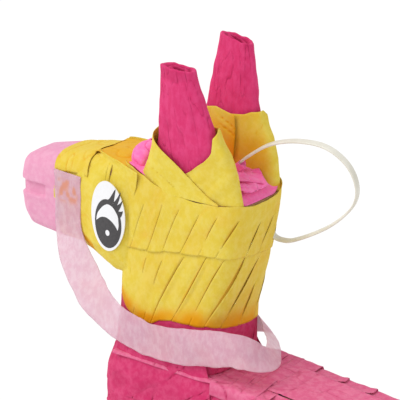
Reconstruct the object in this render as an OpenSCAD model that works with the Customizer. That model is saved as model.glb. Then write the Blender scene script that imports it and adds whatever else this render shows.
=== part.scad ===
// Small donkey piñata: cardboard body, neck, head and legs under layers of coloured tissue.
// The donkey faces -X and stands on Z = 0, its left side is -Y, and the origin is below the
// middle of its bounding box. Millimetres.

/* [Cardboard] */
// Thickness of the cardboard walls
card_t = 1.5; // [1.2:0.1:1.8]
// Gap left between neighbouring layers
gap = 0.1; // [0.08:0.01:0.12]

/* [Tissue] */
// Thickness of a layer of slit tissue, with the air in its folds
tissue_t = 1; // [0.8:0.1:1]
// Thickness of a flat paper sheet
paper_t = 0.8; // [0.6:0.1:0.8]

/* [Head] */
// Height of the line where the upper and lower head bands meet
band_line_z = 195; // [193:0.5:196]
// Height of the lower head band's bottom edge
band_foot_z = 159; // [158:0.5:160]
// Height of the mouth notch in the cardboard
mouth_h = 7.2; // [6.4:0.2:8]
// Depth of the mouth notch
mouth_depth = 20; // [15:1:21]
// Width of the eye sticker
eye_w = 21; // [19:0.5:22]
// Height of the eye sticker
eye_h = 34; // [30:1:36]

/* [Hanging loop] */
// Width of the flat plastic strap
strap_w = 3.5; // [3:0.1:3.8]
// Thickness of the strap
strap_t = 1.2; // [1:0.1:1.4]
// Radius of the holes that the strap goes in at
strap_hole_r = 2.2; // [2.1:0.05:2.3]
// Radius of the knots inside the head
knot_r = 3; // [2.6:0.1:3]

/* [Fill flap] */
// Length of the flap along the back
flap_len = 36; // [34:1:37]
// Width of the flap
flap_w = 28; // [26:1:28]
// Width of the cardboard left under the flap's edges
flap_lap = 3; // [2.5:0.5:4]

/* [Rein] */
// Width of the crepe streamer
rein_w = 17.5; // [14:0.5:18]
// Thickness of the streamer, with its crinkle
rein_t = 0.6; // [0.5:0.1:0.6]

/* [Legs] */
// Length of a leg, front to rear
leg_len = 24; // [22:1:25]
// Width of a leg
leg_w = 21; // [19:1:22]
// Height of a hoof cuff's top edge
cuff_h = 13.5; // [11:0.5:16]

/* [Tail] */
// Radius of the tail's tissue tassel near its lower end
tassel_r = 5.5; // [5:0.1:5.5]
// Height of the tassel's lower end
tassel_foot_z = 76; // [70:1:84]

/* [Hidden] */
$fn = 48;

cardboard = "#a87f4f";
yellow = "#e3c95f";
magenta = "#cc396f";
hot_pink = "#f879b8";
pale_pink = "#f1aecb";
streamer_pink = "#e8c9d2";
violet = "#8e4fa3";
blue = "#4b7fc9";
plastic_white = "#e4e1d4";

// Body sections: height, front, rear, half width, and how much the rear half falls per mm
body = [
  [70, -50.5, 95.5, 23.5, 0],
  [74, -52.5, 97.5, 24.5, 0],
  [118, -53, 98, 25, 0.03],
  [130, -52.7, 96.5, 24, 0.075],
  [139, -51.5, 94, 21.8, 0.09]
];
body_power = 6;
body_mid_x = 19;
belly_z = 70;
back_z = 139;
back_fall = 0.09;
back_tilt = atan(back_fall);
// Lower edges of the four rows of tissue round the body, and the top edge of the highest
row_z = [121, 104, 87, 71];
row_top_z = 138.9;

// Neck and head sections: height, front, rear, half width
neck = [[139, -51, 10, 20.5], [165, -49, 11.5, 19.5], [198, -47.3, 19.5, 19.2], [232, -46, 25.5, 19.5]];
neck_power = 5;
neck_front_power = 3.8;
// How much the lines of the head bands rise per mm towards the rear, the X of their nominal height,
// and the X behind which they are level
band_rise = 0.14;
band_level_x = -22;
band_flat_x = -8;
head_foot_z = 162.6;
head_top_z = 221.4;
crown_z = head_top_z + gap + card_t;
// Wavy rim of the upper head band: mean height, wave, middle X and direction of its high corners
rim_mid_z = 226.3;
rim_wave = 3.5;
rim_x = -10;
rim_turn = 225;

// Snout sections: distance forward, underside, top, half width
snout = [
  [49.8, 175, 231.5, 19],
  [60, 179.5, 230.6, 18.3],
  [72, 184, 228.6, 16.6],
  [88, 184, 225.6, 15.2],
  [104, 185.5, 222, 13.5],
  [109.4, 189, 219, 10.5]
];
snout_power = 4;
snout_n = 28;
snout_root = 49.8;
snout_tip = 109.4;
// Distance forward of the line where the yellow face paper meets the pink muzzle paper
muzzle_x = 85;
mouth_z = 206;

// Ear sections of the left ear: height, front, rear, distance from the middle, half thickness
ear = [[223.2, -27, 17, 14, 3], [230, -26, 15.5, 14.2, 3.4], [250, -21, 9.5, 16.5, 4.4]];
ear_tip_left = [283, -17, -1, 20, 3.2];
ear_tip_right = [289, -14, 1, 20, 3.2];
ear_wrap_z = 247;
ear_foot_z = crown_z + 0.2;

// Forelock: middle, half sizes and top
forelock_at = [-37, -4];
forelock_half = [6.5, 10];
forelock_top_z = 241;

// Eye sticker: X, distance from the middle, height and thickness
eye_at = [-49, 20.55, 205];
eye_t = 0.5;

// Loop: where it leaves the crown, where it goes back in, and its way round between them
loop_exit = [4, 4.5, 232.5];
loop_entry = [21.5, 14, 200];
loop_route = [
  [5.5, 5, 234.5], [8.5, 5.7, 237.3], [12.5, 6.7, 240.6], [18.5, 8, 244.8], [25, 8.5, 247.7],
  [32.5, 9, 249.7], [39.5, 9.5, 250.5], [46, 10, 250.4], [52, 10.3, 249], [57.5, 10.6, 246],
  [61.5, 10.8, 242.3], [64.2, 11, 237.5], [65, 11.4, 232], [63.5, 11.8, 226.5], [60, 12, 221.5],
  [55, 12.5, 216.5], [49, 13, 211.7], [42, 13.4, 207.2], [35, 13.7, 203.3], [29, 14, 200.5],
  [25, 14.3, 199], [22.6, 14.3, 198.6]
];
loop_far = [65, 11.4, 232];
loop_span = norm(loop_entry - loop_exit);
loop_axis = (loop_entry - loop_exit) / loop_span;
stub_exit = 17;
stub_entry = 13;

// Fill flap: it turns about the top edge of its paper cover's front side
hinge_x = 45;
flap_rise = 0.15;
flap_t = 1.2;

// Middle line of the rein's left half: X, Y, Z, and its turn from facing left to facing rear
rein_left = [
  [-76.3, -18.2, 219.5, -8], [-76.3, -18.2, 206, -8], [-76.5, -18.4, 193, -8], [-73.5, -19.2, 182.5, -6],
  [-66.5, -21, 171.5, -3], [-57, -22.8, 161.5, 0], [-46, -23.6, 153.5, 0], [-31, -23.6, 150.5, 0],
  [-10, -23.4, 152.5, 0], [6, -23.4, 154, 4], [19.5, -22, 156, 16], [28, -16.5, 155, 44],
  [31, -8, 153, 72], [31, 0, 152, 90]
];

// Middle of each leg: left front, right front, left rear, right rear
leg_at = [[-36, -12.5], [-36, 12.5], [80, -12.5], [80, 12.5]];
leg_power = 5;
sole_t = 1.6;
cuff_foot_z = 0.4;

// Tail: middle of its core, and the height of the peg that holds it in the rump
tail_x = 105;
peg_z = 123;
peg_len = 12;
peg_r = 2.4;
peg_clearance = 0.05;
tail_core_r = 3;
tail_top_z = 127;

// Column k of a table at height z
function at(table, z, k) = lookup(z, [for (row = table) [row[0], row[k]]]);

// One coordinate of a superellipse of half size a, from the cosine or sine c of its angle
function bulge(a, c, power) = a * sign(c) * pow(abs(c), 2 / power);

// Ring of n points round the middle x, y, with half sizes a and b, at height z. Its low X half has
// the power front, the other half the power rear.
function ring(x, y, a, b, z, rear, n, front) =
  [for (i = [0:n - 1]) let (turn = 360 * i / n, power = cos(turn) < 0 ? front : rear)
    [x + bulge(a, cos(turn), power), y + bulge(b, sin(turn), power), z]];

// Ring that a table of sections gives at height z, off mm outside it
function section(table, z, off, power, n, y = 0, front = 0) =
  ring((at(table, z, 1) + at(table, z, 2)) / 2, y, (at(table, z, 2) - at(table, z, 1)) / 2 + off,
    at(table, z, 3) + off, z, power, n, front > 0 ? front : power);

// Ring round the body. The rear half of the back falls away.
function body_ring(z, off) = [for (p = section(body, z, off, body_power, 32))
  [p.x, p.y, p.z - at(body, z, 4) * max(0, p.x - body_mid_x)]];

function neck_ring(z, off) = section(neck, z, off, neck_power, 32, 0, neck_front_power);

// Ring round the neck or head that rises towards the rear as the head bands do
function tilted_ring(z, off) = let (flat = neck_ring(z, 0))
  [for (i = [0:len(flat) - 1])
    neck_ring(z + band_rise * (min(flat[i].x, band_flat_x) - band_level_x), off)[i]];

// Ring round the snout f mm forward, in a frame where Z is forward and X is up
function snout_ring(f, off) = section(snout, f, off, snout_power, snout_n);

// Sections of one ear; side is -1 for the left ear and 1 for the right
function ear_table(side) =
  [for (s = concat(ear, [side < 0 ? ear_tip_left : ear_tip_right])) [s[0], s[1], s[2], s[4], s[3]]];
function ear_ring(side, z, off) =
  section(ear_table(side), z, off, 2.4, 24, side * at(ear_table(side), z, 4));

// The same ring moved to height z
function raised(points, z) = [for (p = points) [p.x, p.y, z]];

// Height of the upper head band's wavy rim at a point of its outline
function rim_z(p) = rim_mid_z + rim_wave * cos(2 * (atan2(p.y, p.x - rim_x) - rim_turn));

// Ring along the wavy rim, off mm outside the head
function rim_ring(off) = let (flat = neck_ring(rim_mid_z, 0))
  [for (i = [0:len(flat) - 1]) neck_ring(rim_z(flat[i]), off)[i]];

// Two triangles for the four-sided patch a, b, c, d
function patch(a, b, c, d) = [[a, b, c], [a, c, d]];

// Sides of a stack of k rings of n points, whose first point has the index q
function walls(q, k, n, spans) = [for (j = [0:k - 2]) for (i = [0:spans - 1]) let (e = (i + 1) % n)
  each patch(q + (j + 1) * n + i, q + (j + 1) * n + e, q + j * n + e, q + j * n + i)];

function flipped(faces) = [for (f = faces) [f[2], f[1], f[0]]];

// Lid on a ring whose points i and n - i lie side by side, facing down
function lid(q, n) = concat([[q, q + 1, q + n - 1], [q + n / 2, q + n / 2 + 1, q + n / 2 - 1]],
  [for (i = [1:n / 2 - 2]) each patch(q + i, q + i + 1, q + n - i - 1, q + n - i)]);

// Solid through a stack of rings
module loft(rings) {
  n = len(rings[0]);
  k = len(rings);
  polyhedron([for (r = rings) each r],
    concat(walls(0, k, n, n), lid(0, n), flipped(lid((k - 1) * n, n))));
}

// Sheet between an outer and an inner grid of points, closed round on itself when it is wrapped
module sheet(outer, inner, wrapped = true) {
  k = len(outer);
  n = len(outer[0]);
  q = k * n;
  top = (k - 1) * n;
  spans = wrapped ? n : n - 1;
  rims = [for (i = [0:spans - 1]) let (e = (i + 1) % n) each concat(
    patch(i, e, q + e, q + i), patch(q + top + i, q + top + e, top + e, top + i))];
  ends = wrapped ? [] : [for (j = [0:k - 2]) let (a = j * n, b = a + n, c = n - 1) each concat(
    patch(a, q + a, q + b, b), patch(b + c, q + b + c, q + a + c, a + c))];
  polyhedron([for (row = concat(outer, inner)) each row],
    concat(walls(0, k, n, spans), flipped(walls(q, k, n, spans)), rims, ends));
}

// Upright tube or layer of the neck and head through some heights, between two offsets
module neck_layer(heights, inside, outside) {
  sheet([for (z = heights) neck_ring(z, outside)], [for (z = heights) neck_ring(z, inside)]);
}

// Row of tissue round the body between two heights
module body_row(i) {
  z0 = row_z[i];
  z1 = i == 0 ? row_top_z : row_z[i - 1] - gap;
  heights = concat([z0], [for (s = body) if (s[0] > z0 && s[0] < z1) s[0]], [z1]);
  difference() {
    sheet([for (z = heights) body_ring(z, gap + tissue_t)], [for (z = heights) body_ring(z, gap)]);
    tail_hole();
  }
}

// Turns what is drawn with Z forward and X up to lie along the snout
module on_snout() {
  rotate([0, -90, 0]) children();
}

// Solid of the snout from f0 to f1, off mm outside the cardboard
module snout_solid(f0, f1, off) {
  steps = concat([f0], [for (s = snout) if (s[0] > f0 && s[0] < f1) s[0]], [f1]);
  on_snout() loft([for (f = steps) snout_ring(f, off)]);
}

// Space of the mouth notch, drawn in by off on every wall
module mouth(off) {
  end_x = snout_tip - mouth_depth + off;
  clear = 5;
  width = 60;
  translate([-snout_tip - clear, -width / 2, mouth_z - mouth_h / 2 + off])
    cube([snout_tip + clear - end_x, width, mouth_h - 2 * off]);
}

// Puts the children on the sloping rear of the back, x mm along it
module on_back(x) {
  translate([x, 0, back_z - back_fall * (x - body_mid_x)]) rotate([0, back_tilt, 0]) children();
}

// Bar along the loop's axis, from a to b mm past the point where the strap leaves the crown
module loop_bar(a, b) {
  translate(loop_exit + a * loop_axis) rotate([0, acos(loop_axis.z), atan2(loop_axis.y, loop_axis.x)])
    cylinder(r = strap_hole_r, h = b - a);
}

// Hole for the tail's peg
module tail_hole() {
  translate([tail_x - peg_len - 4, 0, peg_z]) rotate([0, 90, 0])
    cylinder(r = peg_r + peg_clearance, h = peg_len);
}

// Outline of a leg, grown by off
module leg_outline(off) {
  outline = ring(0, 0, leg_len / 2 + off, leg_w / 2 + off, 0, leg_power, 24, leg_power);
  polygon([for (p = outline) [p.x, p.y]]);
}

// Upright layer round leg i between two heights and two offsets
module leg_layer(i, z0, z1, inside, outside) {
  translate([leg_at[i].x, leg_at[i].y, z0]) linear_extrude(z1 - z0) difference() {
    leg_outline(outside);
    leg_outline(inside);
  }
}

// Hollow layer of an ear through some heights, between two offsets
module ear_layer(side, heights, inside, outside) {
  sheet([for (z = heights) ear_ring(side, z, outside)], [for (z = heights) ear_ring(side, z, inside)]);
}

module torso_shell() {
  low = belly_z + card_t;
  high = back_z - card_t;
  color(cardboard) difference() {
    loft([for (s = body) body_ring(s[0], 0)]);
    loft([for (z = [low, body[1][0], body[2][0], body[3][0], high]) body_ring(z, -card_t)]);
    on_back(hinge_x) translate([flap_lap, flap_lap - flap_w / 2, -2 * card_t])
      cube([flap_len - 2 * flap_lap, flap_w - 2 * flap_lap, 3 * card_t]);
    tail_hole();
  }
}

module neck_tube() {
  color(cardboard) neck_layer([back_z + gap, 150, head_foot_z - gap], -card_t, 0);
}

module head_shell() {
  color(cardboard) difference() {
    neck_layer([head_foot_z, 165, 180, 198, head_top_z], -card_t, 0);
    loop_bar(loop_span - 14, loop_span + 4);
  }
}

module snout_shell() {
  color(cardboard) difference() {
    snout_solid(snout_root, snout_tip, 0);
    difference() {
      snout_solid(snout_root - 1, snout_tip - card_t, -card_t);
      mouth(-card_t);
    }
    mouth(0);
  }
}

module crown_card() {
  color(cardboard) difference() {
    translate([0, 0, head_top_z + gap]) linear_extrude(card_t)
      polygon([for (p = neck_ring(head_top_z, 0)) [p.x, p.y]]);
    loop_bar(6, 18);
  }
}

module leg_tube(i) {
  color(cardboard) leg_layer(i, sole_t + gap, belly_z - gap, -card_t, 0);
}

module sole(i) {
  color(cardboard) translate([leg_at[i].x, leg_at[i].y, 0]) linear_extrude(sole_t) leg_outline(0);
}

module ear_core(side) {
  color(cardboard) ear_layer(side, [ear_foot_z, 230, 250, ear_table(side)[3][0] - 4], -1, 0);
}

module ear_tissue(side) {
  color(magenta) ear_layer(side, [ear_foot_z, 230, 250, ear_table(side)[3][0]], gap, gap + paper_t);
}

module ear_wrap(side) {
  inner = 2 * gap + paper_t;
  color(yellow) ear_layer(side, [ear_foot_z, 230, ear_wrap_z], inner, inner + paper_t);
}

// Catmull-Rom point between b and c, at t from 0 to 1
function between(a, b, c, d, t) =
  (2 * b + (c - a) * t + (2 * a - 5 * b + 4 * c - d) * t * t + (3 * b - a - 3 * c + d) * t * t * t) / 2;

// The points of a route with one more between each pair
function smoothed(p) = concat([for (i = [0:len(p) - 2]) each
  [p[i], between(p[max(i - 1, 0)], p[i], p[i + 1], p[min(i + 2, len(p) - 1)], 0.5)]], [p[len(p) - 1]]);

// Flat strap swept along its route, its width across the plane of the loop
module hanging_loop() {
  path = smoothed(concat(
    [loop_exit + stub_exit * loop_axis, loop_exit + stub_exit / 2 * loop_axis, loop_exit],
    loop_route,
    [loop_entry, loop_entry - stub_entry / 2 * loop_axis, loop_entry - stub_entry * loop_axis]));
  last = len(path) - 1;
  normal = cross(loop_far - loop_exit, loop_axis);
  across = normal / norm(normal);
  rings = [for (i = [0:last]) let (
      run = path[min(i + 1, last)] - path[max(i - 1, 0)],
      flat = cross(run, across),
      thick = flat / norm(flat))
    [for (k = [0:7]) path[i] + bulge(strap_w / 2, cos(45 * k), 3) * across
      + bulge(strap_t / 2, sin(45 * k), 3) * thick]];
  color(plastic_white) loft(rings);
}

module loop_knots() {
  color(plastic_white) {
    translate(loop_exit + stub_exit * loop_axis) sphere(knot_r);
    translate(loop_entry - stub_entry * loop_axis) sphere(knot_r);
  }
}

module fill_flap() {
  color(cardboard) on_back(hinge_x) translate([0, -flap_w / 2, flap_rise]) cube([flap_len, flap_w, flap_t]);
}

module flap_cover() {
  color(magenta) on_back(hinge_x) translate([0, -flap_w / 2, flap_rise + flap_t + gap])
    cube([flap_len, flap_w, paper_t]);
}

module tail_core() {
  foot_z = tassel_foot_z + 6;
  color(cardboard) {
    translate([tail_x, 0, foot_z]) cylinder(r = tail_core_r, h = tail_top_z - foot_z);
    translate([tail_x - peg_len, 0, peg_z]) rotate([0, 90, 0]) cylinder(r = peg_r, h = peg_len);
  }
}

module tail_tassel() {
  top = peg_z - peg_r - 1;
  hole = tail_core_r + gap;
  color(magenta) translate([tail_x, 0, 0]) rotate_extrude() polygon([
    [hole, tassel_foot_z], [tassel_r - 0.5, tassel_foot_z], [tassel_r, tassel_foot_z + 8],
    [tassel_r - 0.7, top - 8], [hole + 1, top], [hole, top]
  ]);
}

module head_band_upper() {
  heights = [198, 208, 217];
  outside = gap + tissue_t;
  color(yellow) difference() {
    sheet(
      concat([tilted_ring(band_line_z, outside)], [for (z = heights) neck_ring(z, outside)],
        [rim_ring(outside)]),
      concat([tilted_ring(band_line_z, gap)], [for (z = heights) neck_ring(z, gap)], [rim_ring(gap)]));
    loop_bar(loop_span - 12, loop_span + 4);
  }
}

module head_band_lower() {
  outside = gap + tissue_t;
  heights = [165, 172, 184];
  color(yellow) sheet(
    concat([tilted_ring(band_foot_z, outside)], [for (z = heights) neck_ring(z, outside)],
      [tilted_ring(band_line_z - gap, outside)]),
    concat([tilted_ring(band_foot_z, gap)], [for (z = heights) neck_ring(z, gap)],
      [tilted_ring(band_line_z - gap, gap)]));
}

module face_wrap() {
  steps = [snout_root + 2 * gap, 60, 72, muzzle_x - gap];
  color(yellow) on_snout()
    sheet([for (f = steps) snout_ring(f, gap + tissue_t)], [for (f = steps) snout_ring(f, gap)]);
}

// Strip over the bridge of the nose, a little way down both sides
module nose_strip() {
  steps = [muzzle_x - 16, 72, muzzle_x - gap];
  inside = 2 * gap + tissue_t;
  upper = [for (i = [-5:5]) (i + snout_n) % snout_n];
  color(yellow) on_snout() sheet(
    [for (f = steps) [for (i = upper) snout_ring(f, inside + paper_t)[i]]],
    [for (f = steps) [for (i = upper) snout_ring(f, inside)[i]]], false);
}

module muzzle_wrap() {
  color(pale_pink) difference() {
    snout_solid(muzzle_x, snout_tip + gap + tissue_t, gap + tissue_t);
    difference() {
      snout_solid(muzzle_x - 1, snout_tip + gap, gap);
      mouth(gap);
    }
    mouth(gap + paper_t);
  }
}

// Block of tissue in front of the ears, grown by off
module forelock_block(off) {
  loft([for (s = [[ear_foot_z - off, 0], [forelock_top_z - 5, 0.5], [forelock_top_z + off, -3]])
    ring(forelock_at.x, forelock_at.y, forelock_half.x + off + s[1], forelock_half.y + off + s[1], s[0], 3,
      20, 3)]);
}

// Heap of tissue on the crown, cut clear of the ears, the forelock and the strap
module crown_tissue() {
  outline = [[ear_foot_z, 0.7], [226.5, 1.5], [229.5, 5], [231.5, 10]];
  ear_space = 2 * gap + 2 * paper_t + 0.3;
  color(hot_pink) difference() {
    loft([for (s = outline) raised(neck_ring(224, -s[1]), s[0])]);
    for (side = [-1, 1]) loft([for (z = [222, 230, 234]) ear_ring(side, z, ear_space)]);
    forelock_block(0.3);
    loop_bar(-4, 14);
  }
}

module forelock() {
  color(hot_pink) forelock_block(0);
}

// Oval sticker on the side of the face
module eye(side) {
  color("white") translate([eye_at.x, side * eye_at.y + eye_t / 2, eye_at.z])
    rotate([90, 0, 0]) linear_extrude(eye_t)
    polygon([for (a = [0:10:350]) [eye_w / 2 * cos(a), eye_h / 2 * sin(a)]]);
}

// Streamer from one side of the muzzle round behind the neck to the other side
module rein() {
  count = len(rein_left);
  rows = concat(rein_left,
    [for (i = [count - 2:-1:0]) let (r = rein_left[i]) [r[0], -r[1], r[2], 180 - r[3]]]);
  middle = [for (r = rows) [r[0], r[1], r[2]]];
  last = len(rows) - 1;
  strips = [for (side = [1, -1]) [for (i = [0:last]) let (
      face = [sin(rows[i][3]), -cos(rows[i][3]), 0],
      run = middle[min(i + 1, last)] - middle[max(i - 1, 0)],
      across = cross(run, face) / norm(cross(run, face)),
      at_face = middle[i] + side * rein_t / 2 * face)
    [at_face - rein_w / 2 * across, at_face + rein_w / 2 * across]]];
  color(streamer_pink) sheet(strips[0], strips[1], false);
}

module neck_wrap() {
  outside = gap + tissue_t;
  heights = [back_z + 2 * gap, 150];
  color(magenta) sheet(
    concat([for (z = heights) neck_ring(z, outside)], [tilted_ring(band_foot_z - gap, outside)]),
    concat([for (z = heights) neck_ring(z, gap)], [tilted_ring(band_foot_z - gap, gap)]));
}

// Sheet on the back behind the neck, cut out round the fill flap
module spine_sheet() {
  start = 12.5;
  end = 89;
  sheet_w = 38;
  margin = 1.5;
  color(magenta) on_back(start) translate([0, 0, flap_rise]) linear_extrude(paper_t) difference() {
    translate([0, -sheet_w / 2]) square([end - start, sheet_w]);
    translate([hinge_x - margin - 1 - start, -flap_w / 2 - margin]) square([end, flap_w + 2 * margin]);
  }
}

module leg_wrap(i) {
  color(magenta) leg_layer(i, cuff_h + 0.5, belly_z - 2 * gap, gap, gap + paper_t);
}

module hoof_cuff(i) {
  color(violet) leg_layer(i, cuff_foot_z, cuff_h, gap, gap + 1.5);
}

torso_shell();
neck_tube();
head_shell();
snout_shell();
crown_card();
leg_tube(0);  // leg_tube_1
leg_tube(1);  // leg_tube_2
leg_tube(2);  // leg_tube_3
leg_tube(3);  // leg_tube_4
sole(0);  // sole_1
sole(1);  // sole_2
sole(2);  // sole_3
sole(3);  // sole_4
ear_core(-1);  // ear_core_left
ear_core(1);  // ear_core_right
ear_tissue(-1);  // ear_tissue_left
ear_tissue(1);  // ear_tissue_right
ear_wrap(-1);  // ear_wrap_left
ear_wrap(1);  // ear_wrap_right
hanging_loop();
loop_knots();
fill_flap();
flap_cover();
tail_core();
tail_tassel();
head_band_upper();
head_band_lower();
face_wrap();
nose_strip();
muzzle_wrap();
crown_tissue();
forelock();
eye(-1);  // eye_left
eye(1);  // eye_right
rein();
neck_wrap();
spine_sheet();
color(magenta) body_row(0);  // body_row_1
color(violet) body_row(1);  // body_row_2
color(blue) body_row(2);  // body_row_3
color(hot_pink) body_row(3);  // body_row_4
leg_wrap(0);  // leg_wrap_1
leg_wrap(1);  // leg_wrap_2
leg_wrap(2);  // leg_wrap_3
leg_wrap(3);  // leg_wrap_4
hoof_cuff(0);  // hoof_cuff_1
hoof_cuff(1);  // hoof_cuff_2
hoof_cuff(2);  // hoof_cuff_3
hoof_cuff(3);  // hoof_cuff_4
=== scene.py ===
"""Paper donkey pinata: every visible layer of tissue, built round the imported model."""
import itertools
import math

import bmesh
import bpy
import numpy as np
from mathutils import Matrix, Vector


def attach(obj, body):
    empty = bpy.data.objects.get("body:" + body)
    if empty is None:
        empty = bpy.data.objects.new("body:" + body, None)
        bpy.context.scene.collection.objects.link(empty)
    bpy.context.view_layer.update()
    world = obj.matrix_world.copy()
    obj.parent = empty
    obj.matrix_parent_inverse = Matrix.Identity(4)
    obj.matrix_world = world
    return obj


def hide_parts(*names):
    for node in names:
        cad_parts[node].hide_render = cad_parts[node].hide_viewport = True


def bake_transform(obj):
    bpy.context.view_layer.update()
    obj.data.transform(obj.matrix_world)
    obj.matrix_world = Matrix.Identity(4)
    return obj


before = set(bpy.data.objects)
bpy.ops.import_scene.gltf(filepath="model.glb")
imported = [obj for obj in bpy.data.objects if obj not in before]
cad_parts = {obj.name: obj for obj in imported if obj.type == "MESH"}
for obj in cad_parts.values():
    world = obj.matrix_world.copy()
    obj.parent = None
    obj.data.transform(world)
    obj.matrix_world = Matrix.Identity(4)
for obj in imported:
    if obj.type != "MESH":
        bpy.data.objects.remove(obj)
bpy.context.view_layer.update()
scene = bpy.context.scene
MM = 0.001

# ---- camera

AZIMUTH, ELEVATION = math.radians(37), math.radians(20)
TARGET = np.array([-12, 0, 215])
DISTANCE = 900


def look(obj, place, target):
    """Put obj at place, its -Z axis towards target, both in mm."""
    back = np.array(place, float) - np.array(target, float)
    back /= np.linalg.norm(back)
    right = np.cross([0, 0, 1], back)
    right /= np.linalg.norm(right)
    up = np.cross(back, right)
    obj.matrix_world = Matrix([[right[k], up[k], back[k], place[k] * MM] for k in range(3)] + [[0, 0, 0, 1]])


def add_object(name, data):
    obj = bpy.data.objects.new(name, data)
    scene.collection.objects.link(obj)
    return obj


camera = add_object("camera", bpy.data.cameras.new("camera"))
camera.data.sensor_width = 36
camera.data.lens = 178.2
camera.data.clip_end = 50
view_back = np.array([math.sin(AZIMUTH) * math.cos(ELEVATION), -math.cos(AZIMUTH) * math.cos(ELEVATION),
                      math.sin(ELEVATION)])
look(camera, TARGET + DISTANCE * view_back, TARGET)
scene.camera = camera
scene.view_settings.view_transform = "Standard"

# ---- noise and small helpers


def lattice(i, j, k, seed):
    h = (i * 374761393 + j * 668265263 + k * 1103515245 + seed * 1274126177) & 0xFFFFFFFF
    h = ((h ^ (h >> 13)) * 1274126177) & 0xFFFFFFFF
    return ((h ^ (h >> 16)) & 0xFFFF) / 32767.5 - 1


def noise(p, size, seed=0):
    """Smooth noise from -1 to 1 at points p, with lumps of the given size."""
    q = np.asarray(p, float) / size + 64
    i = np.floor(q).astype(np.int64)
    f = q - i
    f = f * f * (3 - 2 * f)
    near = (1 - f, f)
    total = 0
    for a, b, c in itertools.product((0, 1), repeat=3):
        weight = near[a][..., 0] * near[b][..., 1] * near[c][..., 2]
        total = total + weight * lattice(i[..., 0] + a, i[..., 1] + b, i[..., 2] + c, seed)
    return total


def folds(p, size, seed, width):
    """Sharp lines from 0 to 1 at points p, along the zero of the noise."""
    return np.clip(1 - np.abs(noise(p, size, seed)) / width, 0, 1) ** 1.5


def smooth(a, b, x):
    """Soft step from 0 at a to 1 at b."""
    k = np.clip((np.asarray(x, float) - a) / (b - a), 0, 1)
    return k * k * (3 - 2 * k)


def spline(points, count):
    """Points evenly spaced along a smooth curve through the given rows, which may hold extra columns."""
    p = np.array(points, float)
    ends = np.vstack([2 * p[0] - p[1], p, 2 * p[-1] - p[-2]])
    rows = []
    for i in range(1, len(ends) - 2):
        a, b, c, d = ends[i - 1:i + 3]
        for t in np.linspace(0, 1, 24, endpoint=False):
            rows.append((2 * b + (c - a) * t + (2 * a - 5 * b + 4 * c - d) * t ** 2
                         + (3 * b - a - 3 * c + d) * t ** 3) / 2)
    rows = np.array(rows + [p[-1]])
    run = np.concatenate([[0], np.cumsum(gaps(rows[:, :3]))])
    at = np.linspace(0, run[-1], count)
    return np.stack([np.interp(at, run, rows[:, k]) for k in range(p.shape[1])], 1)


def unit(v):
    return v / np.maximum(np.linalg.norm(v, axis=-1, keepdims=True), 1e-9)


def gaps(points):
    """Distances between neighbouring points."""
    return np.linalg.norm(np.diff(points, axis=0), axis=1)


def rounded(v, power):
    return np.sign(v) * np.abs(v) ** power


def xyz(x, y, z):
    """Points whose coordinates are arrays or single numbers."""
    return np.stack(np.broadcast_arrays(x, y, z), -1)


def cells(first, second):
    return np.meshgrid(first, second, indexing="ij")


def ring_of(count):
    """Angles evenly round a full turn."""
    return np.linspace(0, math.tau, count, endpoint=False)


def patch(a, b, count, c, d, rows, closed=False):
    """Grids of numbers from a to b one way and from c to d the other; a closed one leaves b out."""
    return cells(np.linspace(a, b, count, endpoint=not closed), np.linspace(c, d, rows))


SLOPE_START, BACK_SLOPE, BACK_Z = 19, 0.09, 139  # the back is level up to SLOPE_START, then falls
OUTLINE_STEPS = 2001


class Wall:
    """Closed wall through sections [height, low, high, half width, sideways]. Its outline is a
    superellipse, its share t runs from the low side through -Y, and v is the height."""

    def __init__(self, rows, power, snout=False, fall=None, front=None):
        self.rows, self.snout, self.fall = np.array(rows, float), snout, fall
        self.power, self.front = power, front or power
        self.turn = np.radians(180 + np.linspace(0, 360, OUTLINE_STEPS))
        middle = (self.rows[0, 0] + self.rows[-1, 0]) / 2
        ring = self.outline(self.turn, np.full(OUTLINE_STEPS, middle), 0)
        run = np.concatenate([[0], np.cumsum(gaps(ring))])
        self.length = run[-1]
        self.share = run / run[-1]

    def column(self, v, k):
        return np.interp(v, self.rows[:, 0], self.rows[:, k])

    def outline(self, turn, v, off):
        low, high = self.column(v, 1), self.column(v, 2)
        a, b = (high - low) / 2 + off, self.column(v, 3) + off
        c, s = np.cos(turn), np.sin(turn)
        power = np.where(c < 0, self.front, self.power)
        r = (np.abs(c / a) ** power + np.abs(s / b) ** power) ** (-1 / power)
        side = self.column(v, 4) if self.rows.shape[1] > 4 else 0
        x, y, z = (low + high) / 2 + r * c, side + r * s, v + 0 * r
        if self.fall is not None:
            z = z - np.interp(v, self.fall[:, 0], self.fall[:, 1]) * np.maximum(0, x - SLOPE_START)
        return np.stack([-z, y, x] if self.snout else [x, y, z], -1)

    def at(self, t, v, off=0):
        return self.outline(np.interp(np.mod(t, 1), self.share, self.turn), np.asarray(v, float), off)

    def half_at(self, v, place):
        """Half width of the section at v, at a place between its low and high side."""
        low, high = self.column(v, 1), self.column(v, 2)
        c = (2 * place - low - high) / (high - low)
        power = np.where(c < 0, self.front, self.power)
        return self.column(v, 3) * np.clip(1 - np.abs(c) ** power, 0, 1) ** (1 / power)

    def push(self, t, v, d):
        """Point d mm outside the wall, along its normal."""
        e, g = 0.002, 0.4  # steps in share and in mm that the normal is measured over
        along = self.at(t + e, v) - self.at(t - e, v)
        up = self.at(t, v + g) - self.at(t, v - g)
        return self.at(t, v) + unit(np.cross(along, up)) * np.asarray(d)[..., None]

    def share_at(self, x):
        """Share of the point at x on the -Y side, at mid height."""
        v = np.full(901, (self.rows[0, 0] + self.rows[-1, 0]) / 2)
        t = np.linspace(0, 0.5, 901)
        return np.interp(x, self.at(t, v)[:, 0], t)


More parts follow.
